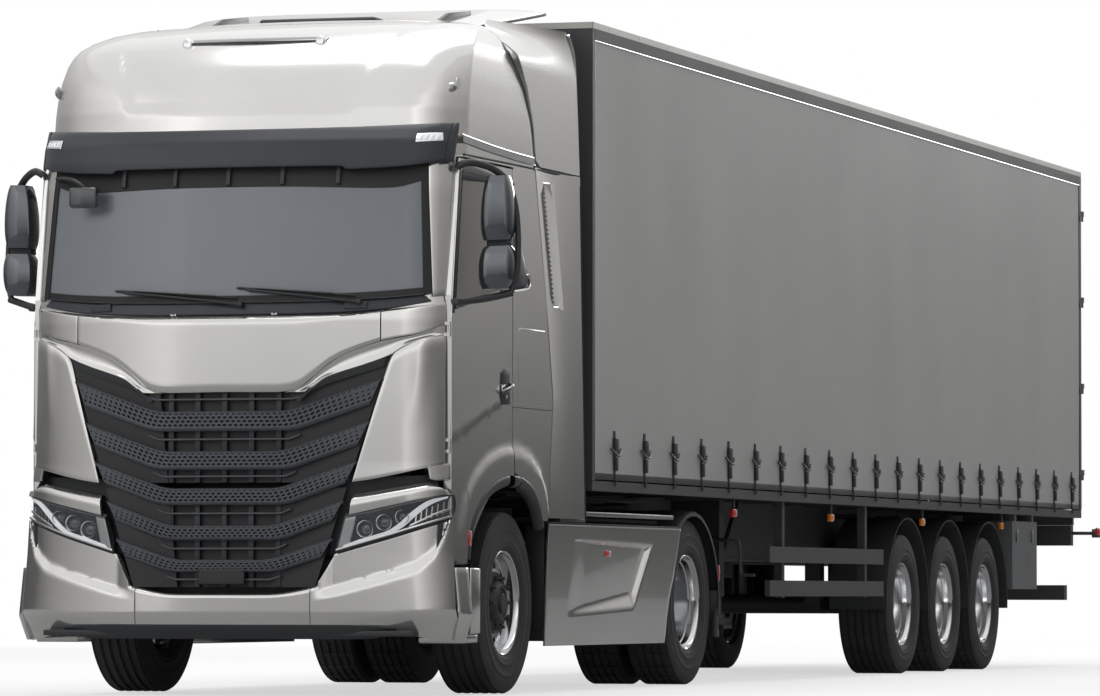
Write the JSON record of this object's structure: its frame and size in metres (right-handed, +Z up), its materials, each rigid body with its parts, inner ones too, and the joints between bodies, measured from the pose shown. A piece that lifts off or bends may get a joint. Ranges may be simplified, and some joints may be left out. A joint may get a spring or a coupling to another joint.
{
  "type": "articulated lorry with curtain-side semi-trailer",
  "caption": "High-roof sleeper tractor unit with a tilting cab, coupled through a kingpin to a curtain-sided semi-trailer with rear doors.",
  "frame": {"origin": "on the ground, at the middle of the overall length and width", "axes": "front faces -Y, +X is the lorry's left side, +Z up"},
  "size_m": [3.12, 16.57, 4.065],
  "materials": {
    "silver_paint": "metallic gloss",
    "black_frame": "satin",
    "cast_metal": "rough",
    "tank_alloy": "satin",
    "black_plastic": "grained",
    "visor_plastic": "gloss",
    "tinted_glass": "gloss",
    "lamp_glass": "gloss",
    "seat_cloth": "woven",
    "tyre_rubber": "matte",
    "grey_frame": "satin",
    "floor_board": "film-faced",
    "post_alloy": "satin",
    "curtain_cloth": "coated",
    "grey_plastic": "satin",
    "grey_panel": "satin"
  },
  "bodies": {
    "tractor": {"chassis_frame": "black_frame", "engine_block": "cast_metal", "front_axle": "black_frame", "drive_axle": "black_frame", "fifth_wheel": "black_frame", "fuel_tanks": "tank_alloy", "side_skirts": "silver_paint", "drive_mudguards": "black_plastic", "front_bumper": "silver_paint", "headlamps": "lamp_glass", "lower_grille": "black_plastic", "entry_steps": "black_frame"},
    "cab": {"cab_shell": "silver_paint", "cab_roof": "silver_paint", "windscreen": "tinted_glass", "sun_visor": "visor_plastic", "corner_panels": "silver_paint", "upper_grille": "black_plastic", "cowl": "black_plastic", "wheel_arches": "black_plastic", "side_deflectors": "silver_paint", "roof_deflector": "silver_paint", "seats": "seat_cloth", "bunk": "seat_cloth", "dashboard": "black_plastic"},
    "front_flap": {"hood": "silver_paint"},
    "left_cab_door": {"door_left": "silver_paint", "door_glass_left": "tinted_glass", "mirror_left": "black_plastic"},
    "right_cab_door": {"door_right": "silver_paint", "door_glass_right": "tinted_glass", "mirror_right": "black_plastic"},
    "left_knuckle": {"knuckle_left": "cast_metal"},
    "right_knuckle": {"knuckle_right": "cast_metal"},
    "left_front_wheel": {"front_wheel_left": "tyre_rubber"},
    "right_front_wheel": {"front_wheel_right": "tyre_rubber"},
    "left_drive_wheels": {"drive_wheels_left": "tyre_rubber"},
    "right_drive_wheels": {"drive_wheels_right": "tyre_rubber"},
    "left_trailer_wheel_1": {"trailer_wheel_left_1": "tyre_rubber"},
    "left_trailer_wheel_2": {"trailer_wheel_left_2": "tyre_rubber"},
    "left_trailer_wheel_3": {"trailer_wheel_left_3": "tyre_rubber"},
    "right_trailer_wheel_1": {"trailer_wheel_right_1": "tyre_rubber"},
    "right_trailer_wheel_2": {"trailer_wheel_right_2": "tyre_rubber"},
    "right_trailer_wheel_3": {"trailer_wheel_right_3": "tyre_rubber"},
    "trailer": {"trailer_frame": "grey_frame", "load_floor": "floor_board", "headboard": "grey_frame", "rear_frame": "grey_frame", "trailer_roof": "grey_frame", "side_posts": "post_alloy", "side_curtains": "curtain_cloth", "landing_legs": "black_frame", "trailer_axles": "black_frame", "trailer_mudguards": "black_plastic", "side_guards": "grey_frame", "tool_box": "grey_plastic", "rear_bumper": "grey_frame"},
    "left_rear_door": {"rear_door_left": "grey_panel"},
    "right_rear_door": {"rear_door_right": "grey_panel"}
  },
  "joints": [
    {"name": "trailer_swing", "type": "hinge", "parent": "tractor", "child": "trailer", "pos_m": [0, -3.775, 1.155], "axis": [0, 0, 1], "range_deg": [-90, 90]},
    {"name": "cab_tilt", "type": "hinge", "parent": "tractor", "child": "cab", "pos_m": [0, -8.165, 1.05], "axis": [1, 0, 0], "range_deg": [0, 60]},
    {"name": "hood_lift", "type": "hinge", "parent": "cab", "child": "front_flap", "pos_m": [0, -8.25, 2.132], "axis": [-1, 0, 0], "range_deg": [0, 75]},
    {"name": "door_left_swing", "type": "hinge", "parent": "cab", "child": "left_cab_door", "pos_m": [1.24, -7.983, 1.9], "axis": [0, 0, -1], "range_deg": [0, 78]},
    {"name": "door_right_swing", "type": "hinge", "parent": "cab", "child": "right_cab_door", "pos_m": [-1.24, -7.983, 1.9], "axis": [0, 0, 1], "range_deg": [0, 78]},
    {"name": "steer_left", "type": "hinge", "parent": "tractor", "child": "left_knuckle", "pos_m": [0.905, -6.795, 0.525], "axis": [0, 0, 1], "range_deg": [-40, 40]},
    {"name": "steer_right", "type": "hinge", "parent": "tractor", "child": "right_knuckle", "pos_m": [-0.905, -6.795, 0.525], "axis": [0, 0, 1], "range_deg": [-40, 40]},
    {"name": "roll_front_left", "type": "hinge", "parent": "left_knuckle", "child": "left_front_wheel", "pos_m": [1.04, -6.795, 0.525], "axis": [1, 0, 0], "continuous": true},
    {"name": "roll_front_right", "type": "hinge", "parent": "right_knuckle", "child": "right_front_wheel", "pos_m": [-1.04, -6.795, 0.525], "axis": [1, 0, 0], "continuous": true},
    {"name": "roll_drive_left", "type": "hinge", "parent": "tractor", "child": "left_drive_wheels", "pos_m": [0.872, -3.01, 0.525], "axis": [1, 0, 0], "continuous": true},
    {"name": "roll_drive_right", "type": "hinge", "parent": "tractor", "child": "right_drive_wheels", "pos_m": [-0.872, -3.01, 0.525], "axis": [1, 0, 0], "continuous": true},
    {"name": "roll_trailer_left_1", "type": "hinge", "parent": "trailer", "child": "left_trailer_wheel_1", "pos_m": [1.007, 2.605, 0.505], "axis": [1, 0, 0], "continuous": true},
    {"name": "roll_trailer_left_2", "type": "hinge", "parent": "trailer", "child": "left_trailer_wheel_2", "pos_m": [1.007, 3.875, 0.505], "axis": [1, 0, 0], "continuous": true},
    {"name": "roll_trailer_left_3", "type": "hinge", "parent": "trailer", "child": "left_trailer_wheel_3", "pos_m": [1.007, 5.145, 0.505], "axis": [1, 0, 0], "continuous": true},
    {"name": "roll_trailer_right_1", "type": "hinge", "parent": "trailer", "child": "right_trailer_wheel_1", "pos_m": [-1.007, 2.605, 0.505], "axis": [1, 0, 0], "continuous": true},
    {"name": "roll_trailer_right_2", "type": "hinge", "parent": "trailer", "child": "right_trailer_wheel_2", "pos_m": [-1.007, 3.875, 0.505], "axis": [1, 0, 0], "continuous": true},
    {"name": "roll_trailer_right_3", "type": "hinge", "parent": "trailer", "child": "right_trailer_wheel_3", "pos_m": [-1.007, 5.145, 0.505], "axis": [1, 0, 0], "continuous": true},
    {"name": "rear_door_left_swing", "type": "hinge", "parent": "trailer", "child": "left_rear_door", "pos_m": [1.279, 8.233, 2.6], "axis": [0, 0, -1], "range_deg": [0, 250]},
    {"name": "rear_door_right_swing", "type": "hinge", "parent": "trailer", "child": "right_rear_door", "pos_m": [-1.279, 8.233, 2.6], "axis": [0, 0, 1], "range_deg": [0, 250]}
  ],
  "couplings": [
    {"joint": "steer_right", "follows": "steer_left", "ratio": 1}
  ]
}
